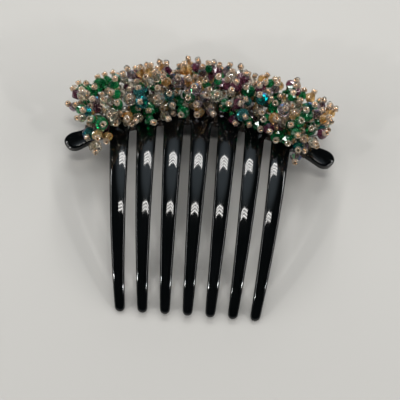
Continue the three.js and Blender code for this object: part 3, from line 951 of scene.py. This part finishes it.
def wire_look():
    look = Look("craft_wire")
    look.set(Metallic=1.0)
    tone = look.noise(3)
    look.drive("Base Color", look.ramp(tone, [(0.3, linear((44, 40, 38))), (0.7, linear((92, 80, 70)))]))
    look.drive("Roughness", look.range(look.noise(0.8), 0.18, 0.4))
    look.bump(look.noise(0.25), 0.01)
    return look.material


def glass_look(name, dark, light, film, transmission=0.8):
    """Cut glass: its tint changes from bead to bead, and a thin film gives it a rainbow glint."""
    look = Look(name)
    look.set(IOR=1.56, Transmission_Weight=transmission, Thin_Film_Thickness=film)
    tint = look.cells(3.2)
    look.drive("Base Color", look.ramp(tint, [(0.15, linear(dark)), (0.85, linear(light))]))
    look.drive("Roughness", look.range(look.noise(1.2), 0.01, 0.08))
    look.bump(look.noise(0.6), 0.004)
    return look.material


def seed_look():
    """Pale glass with a faint straw tint."""
    look = Look("seed_glass")
    look.set(IOR=1.52, Transmission_Weight=0.8)
    tone = look.cells(2.4)
    pale, paler = linear((240, 218, 190)), linear((255, 246, 232))
    look.drive("Base Color", look.ramp(tone, [(0.1, pale), (0.9, paler)]))
    look.drive("Roughness", look.range(look.noise(0.7), 0.01, 0.06))
    look.bump(look.noise(0.5), 0.006)
    return look.material


def lining_look():
    """The copper-gold lining of a seed bead's hole."""
    look = Look("rose_gold_lining")
    look.set(Metallic=1.0)
    tone = look.cells(2.4)
    brown, gold = linear((178, 138, 104)), linear((232, 200, 164))
    look.drive("Base Color", look.ramp(tone, [(0.1, brown), (0.9, gold)]))
    look.drive("Roughness", look.range(look.noise(0.5), 0.12, 0.3))
    look.bump(look.noise(0.3), 0.01)
    return look.material


def make_materials():
    return {
        "plastic": plastic_look(),
        "wire": wire_look(),
        "seed": seed_look(),
        "lining": lining_look(),
        "emerald": glass_look("emerald_glass", (4, 92, 52), (30, 170, 98), 0),
        "champagne": glass_look("champagne_glass", (216, 158, 76), (252, 222, 164), 0, 0.85),
        "clear": glass_look("clear_glass", (228, 208, 172), (255, 255, 250), 0, 0.95),
        "amethyst": glass_look("amethyst_glass", (92, 36, 66), (152, 92, 112), 0),
        "teal": glass_look("teal_glass", (14, 84, 76), (84, 150, 148), 400),
        "smoke": glass_look("smoke_glass", (108, 80, 84), (190, 176, 182), 420, 0.88),
    }


# ---- Stage, light and camera ----


def add_floor():
    material = bpy.data.materials.new("pale_floor")
    material.use_nodes = True
    shader = material.node_tree.nodes["Principled BSDF"]
    shader.inputs["Base Color"].default_value = linear(FLOOR_COLOUR)
    shader.inputs["Roughness"].default_value = 0.6
    mesh = bpy.data.meshes.new("floor")
    half = FLOOR_HALF
    corners = [(-half, -half, 0), (half, -half, 0), (half, half, 0), (-half, half, 0)]
    mesh.from_pydata(corners, [], [(0, 1, 2, 3)])
    mesh.materials.append(material)
    floor = bpy.data.objects.new("floor", mesh)
    bpy.context.scene.collection.objects.link(floor)
    floor.location.z = cad_low.z - FLOOR_GAP


def box_middle():
    return (cad_low + cad_high) / 2


def view_frame():
    """The camera's place and turn."""
    target = box_middle() + Vector(VIEW_TARGET) * MM
    back = Vector((0, -math.cos(VIEW_ELEVATION), math.sin(VIEW_ELEVATION)))
    place = target + back * VIEW_DISTANCE * MM
    turn = (-back).to_track_quat("-Z", "Y") @ Matrix.Rotation(VIEW_ROLL, 3, "Z").to_quaternion()
    return place, turn


def add_camera():
    data = bpy.data.cameras.new("view")
    data.lens = VIEW_LENS
    data.clip_start = 0.01
    camera = bpy.data.objects.new("view", data)
    bpy.context.scene.collection.objects.link(camera)
    camera.location, turn = view_frame()
    camera.rotation_mode = "QUATERNION"
    camera.rotation_quaternion = turn
    bpy.context.scene.camera = camera


def area_light(name, place, target, power, colour):
    data = bpy.data.lights.new(name, "AREA")
    data.shape = "RECTANGLE"
    data.energy = power
    data.color = colour
    light = bpy.data.objects.new(name, data)
    bpy.context.scene.collection.objects.link(light)
    light.location = place
    light.rotation_euler = (Vector(target) - Vector(place)).to_track_quat("-Z", "Y").to_euler()
    return light


def mirrored_direction(s):
    """Where a light has to be for the middle tooth to mirror it to the camera at s."""
    spot = Vector(on_comb(0, s, 0) * MM)
    normal = Vector(normal_at(0, s))
    to_view = (view_frame()[0] - spot).normalized()
    return spot, (2 * normal.dot(to_view) * normal - to_view).normalized()


def strip_rack(name, s, strips, slope):
    """Narrow strips in the shape of a roof, which each glossy tooth mirrors as a stack of chevrons."""
    spot, direction = mirrored_direction(s)
    away = direction.cross(Vector((1, 0, 0))).normalized()
    for k in range(strips):
        ridge = spot + direction * RACK_DISTANCE + away * (k - (strips - 1) / 2) * STRIP_PITCH
        for side in SIDES:
            arm = Vector((side * math.cos(slope), 0, 0)) - away * math.sin(slope)
            middle = ridge + arm * STRIP_LENGTH / 2
            light = area_light(f"{name}_{k}_{side}", middle, spot, STRIP_POWER, STRIP_TINT)
            light.data.size, light.data.size_y = STRIP_LENGTH, STRIP_WIDTH
            face = -direction
            across = arm.cross(face).normalized()
            light.rotation_euler = Matrix((arm, across, -face)).transposed().to_euler()


def add_lights():
    """Racks of strips behind the spine, soft panels around, and a sky that is brightest overhead."""
    strip_rack("near_strip", NEAR_HIGHLIGHT, 3, STRIP_SLOPE)
    strip_rack("far_strip", FAR_HIGHLIGHT, 4, STRIP_SLOPE)
    for side in SIDES:
        mirror = Vector((side, 1, 1))
        place = mirror * Vector(PANEL_PLACE)
        panel = area_light(f"panel_{side}", place, box_middle(), PANEL_POWER, STRIP_TINT)
        panel.data.size, panel.data.size_y = PANEL_SIZE
        edge = area_light(f"edge_{side}", mirror * Vector(EDGE_PLACE), box_middle(), EDGE_POWER, (1, 1, 1))
        edge.data.size, edge.data.size_y = EDGE_SIZE
        lamp = area_light(f"lamp_{side}", mirror * Vector(LAMP_PLACE), box_middle(), LAMP_POWER, (1, 1, 1))
        lamp.data.size = lamp.data.size_y = LAMP_SIZE
    back = area_light("back_panel", Vector(BACK_PLACE), box_middle(), BACK_POWER, (1, 1, 1))
    back.data.size, back.data.size_y = BACK_SIZE
    world = bpy.data.worlds.new("studio")
    world.use_nodes = True
    nodes, links = world.node_tree.nodes, world.node_tree.links
    place = nodes.new("ShaderNodeTexCoord")
    toward = nodes.new("ShaderNodeVectorMath")
    toward.operation = "DOT_PRODUCT"
    toward.inputs[1].default_value = mirrored_direction(SKY_HIGHLIGHT)[1]
    glow = nodes.new("ShaderNodeMapRange")
    glow.interpolation_type = "SMOOTHERSTEP"
    for name, value in (("From Min", SKY_EDGE), ("From Max", 1), ("To Min", SKY_DIM), ("To Max", SKY_BRIGHT)):
        glow.inputs[name].default_value = value
    height = nodes.new("ShaderNodeSeparateXYZ")
    haze = nodes.new("ShaderNodeMapRange")
    for name, value in (("From Min", 0), ("From Max", HAZE_HEIGHT), ("To Min", HAZE), ("To Max", 0)):
        haze.inputs[name].default_value = value
    both = nodes.new("ShaderNodeMath")
    background = nodes["Background"]
    background.inputs["Color"].default_value = SKY_TINT
    links.new(place.outputs["Generated"], toward.inputs[0])
    links.new(toward.outputs["Value"], glow.inputs["Value"])
    links.new(place.outputs["Generated"], height.inputs[0])
    links.new(height.outputs["Z"], haze.inputs["Value"])
    links.new(glow.outputs["Result"], both.inputs[0])
    links.new(haze.outputs["Result"], both.inputs[1])
    links.new(both.outputs["Value"], background.inputs["Strength"])
    bpy.context.scene.world = world
    bpy.context.scene.view_settings.view_transform = "Standard"


# ---- Everything ----

materials = make_materials()
comb_body(materials["plastic"])
for wire_name in WIRE_LINES:
    base_wire(wire_name, materials["wire"])
for wrap_number, wrap_angle in enumerate(wrap_angles(), 1):
    binding_wrap(wrap_number, wrap_angle, materials["wire"])
bead_sprays(materials)
add_floor()
add_lights()
add_camera()
